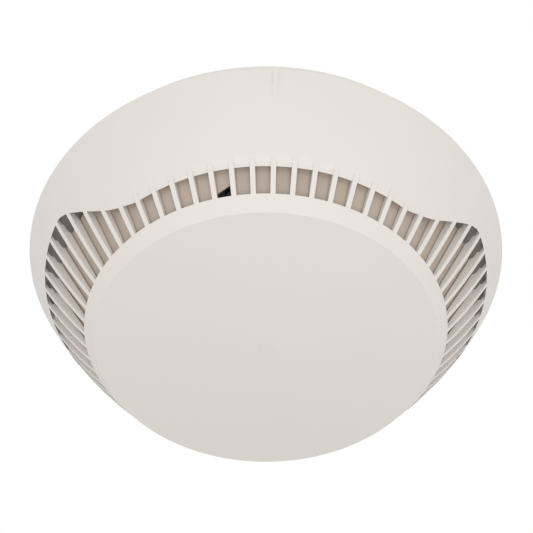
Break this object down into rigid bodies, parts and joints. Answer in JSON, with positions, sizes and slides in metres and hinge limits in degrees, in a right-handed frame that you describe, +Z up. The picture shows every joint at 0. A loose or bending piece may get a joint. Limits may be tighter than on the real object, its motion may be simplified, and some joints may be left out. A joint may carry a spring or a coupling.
{
  "type": "heat detector",
  "caption": "Round ceiling heat detector: white cover with a wavy finned grille and flat cap on a plug-in head, held by a twist in a base with screw terminals.",
  "frame": {"origin": "on the ceiling plane, where the detector's axis meets the ceiling: the centre of the base's fixing slots", "axes": "+Z up, out of the detector into the ceiling; the detector hangs along -Z; the cover's alignment rib faces -Y when the head is locked"},
  "size_m": [0.104, 0.1043, 0.0302],
  "materials": {
    "cover_plastic": "warm white moulded plastic with a fine satin grain",
    "shell_plastic": "beige moulded plastic, satin",
    "chassis_plastic": "grey moulded plastic, satin",
    "base_plastic": "warm white moulded plastic, satin",
    "contact_brass": "nickel-washed spring brass",
    "clamp_steel": "zinc-plated steel",
    "screw_steel": "zinc-plated steel",
    "board_laminate": "green solder mask on laminate",
    "chip_black": "moulded epoxy package",
    "chip_ceramic": "glazed ceramic",
    "chip_tan": "fired ceramic",
    "capacitor_can": "drawn aluminium can",
    "glass_bead": "glass-coated bead",
    "holder_black": "black moulded plastic",
    "bead_black": "black epoxy bead",
    "tinned_wire": "tinned copper wire"
  },
  "bodies": {
    "base": {"mounting_base": "base_plastic", "terminal_plate_1": "contact_brass", "terminal_plate_2": "contact_brass", "terminal_plate_3": "contact_brass", "terminal_plate_4": "contact_brass", "wire_clamp_1": "clamp_steel", "wire_clamp_2": "clamp_steel", "wire_clamp_3": "clamp_steel", "wire_clamp_4": "clamp_steel"},
    "head": {"head_cover": "cover_plastic", "inner_shell": "shell_plastic", "head_chassis": "chassis_plastic", "case_screws": "screw_steel", "contact_blade_1": "contact_brass", "contact_blade_2": "contact_brass", "contact_blade_3": "contact_brass", "contact_blade_4": "contact_brass", "blade_pins": "contact_brass", "circuit_board": "board_laminate", "microcontroller": "chip_black", "bridge_rectifier": "chip_black", "storage_capacitor": "capacitor_can", "surge_suppressor": "chip_black", "resonator": "chip_ceramic", "chip_resistors": "chip_black", "chip_capacitors": "chip_tan", "reference_thermistor": "glass_bead", "sensor_holder": "holder_black", "sensing_thermistor": "bead_black", "thermistor_leads": "tinned_wire"},
    "terminal_screw_1": {"terminal_screw_1": "screw_steel"},
    "terminal_screw_2": {"terminal_screw_2": "screw_steel"},
    "terminal_screw_3": {"terminal_screw_3": "screw_steel"},
    "terminal_screw_4": {"terminal_screw_4": "screw_steel"}
  },
  "joints": [
    {"name": "head_twist", "type": "hinge", "parent": "base", "child": "head", "pos_m": [0, 0, 0], "axis": [0, 0, 1], "range_deg": [-20, 0]},
    {"name": "terminal_screw_1_turn", "type": "hinge", "parent": "base", "child": "terminal_screw_1", "pos_m": [0.01745, 0.02316, -0.0065], "axis": [0, 0, 1], "range_deg": [-1035, 0]},
    {"name": "terminal_screw_2_turn", "type": "hinge", "parent": "base", "child": "terminal_screw_2", "pos_m": [-0.02316, 0.01745, -0.0065], "axis": [0, 0, 1], "range_deg": [-1035, 0]},
    {"name": "terminal_screw_3_turn", "type": "hinge", "parent": "base", "child": "terminal_screw_3", "pos_m": [-0.01745, -0.02316, -0.0065], "axis": [0, 0, 1], "range_deg": [-1035, 0]},
    {"name": "terminal_screw_4_turn", "type": "hinge", "parent": "base", "child": "terminal_screw_4", "pos_m": [0.02316, -0.01745, -0.0065], "axis": [0, 0, 1], "range_deg": [-1035, 0]}
  ]
}
